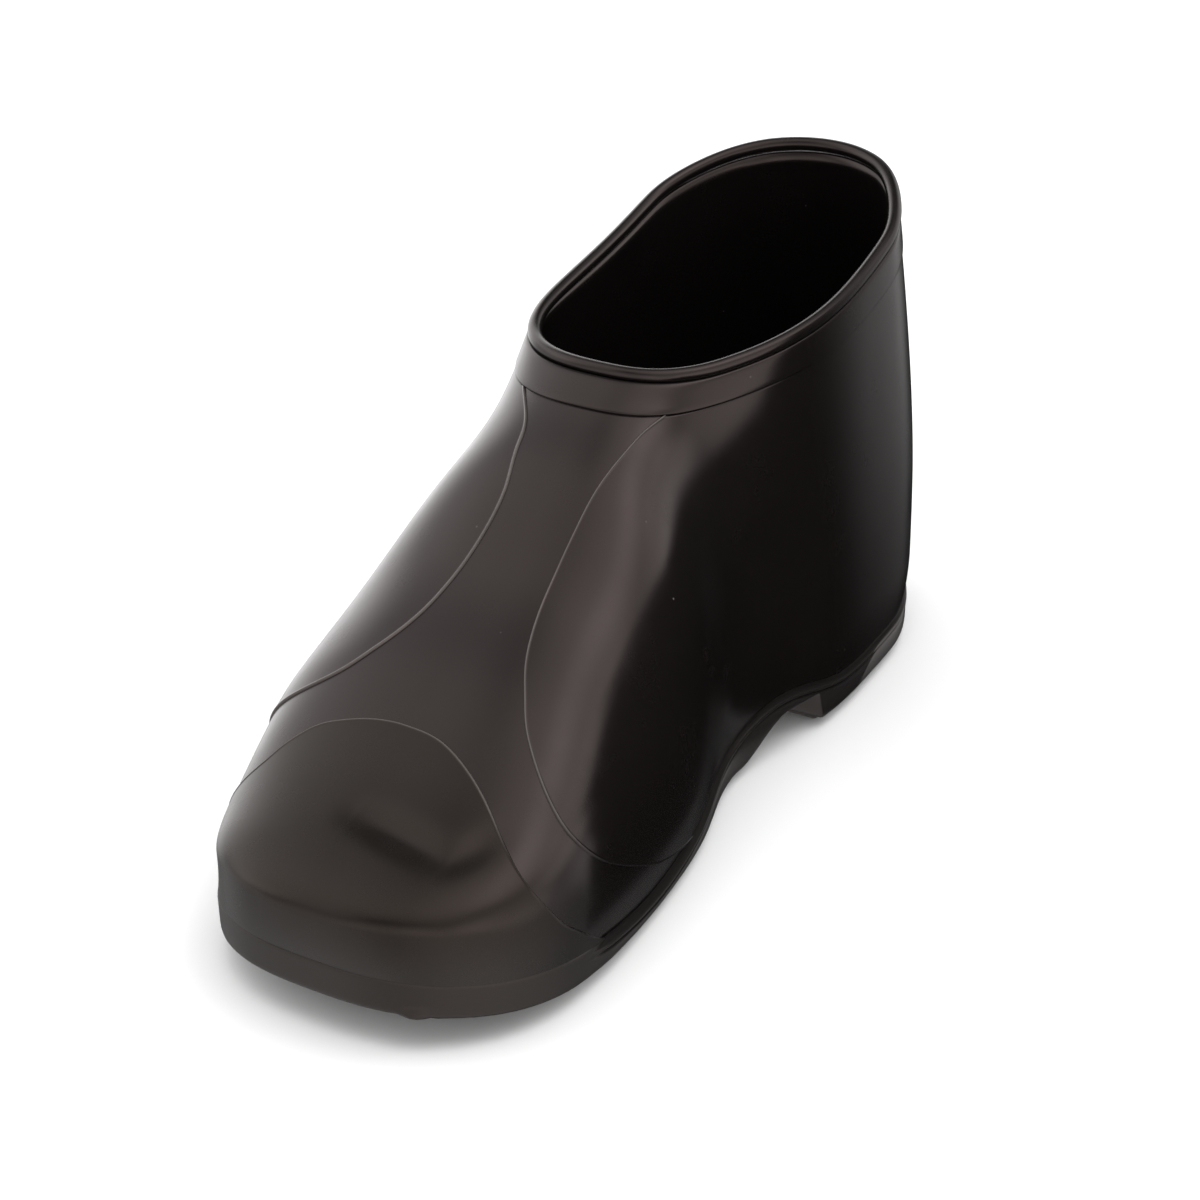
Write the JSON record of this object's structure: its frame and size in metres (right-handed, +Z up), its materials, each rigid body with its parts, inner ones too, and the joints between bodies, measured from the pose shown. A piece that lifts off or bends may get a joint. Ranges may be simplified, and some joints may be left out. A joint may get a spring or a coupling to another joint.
{
  "type": "rubber overshoe",
  "caption": "Ankle-high moulded rubber overshoe for the right foot, empty and standing, with a rolled collar, raised toe cap and quarter panel, and a lugged sole.",
  "frame": {"origin": "on the floor, under the middle of the whole shoe's box", "axes": "+Z up, +Y towards the heel, -Y towards the toe, +X towards the inner side of the right foot"},
  "size_m": [0.1276, 0.329, 0.1652],
  "materials": {
    "upper_rubber": "satin",
    "sole_rubber": "satin with grained lugs",
    "band_rubber": "satin",
    "cap_rubber": "dull satin",
    "panel_rubber": "satin"
  },
  "bodies": {
    "root": {"upper": "upper_rubber", "outsole": "sole_rubber", "collar_band": "band_rubber", "toe_cap": "cap_rubber", "quarter_panel": "panel_rubber"}
  },
  "joints": []
}
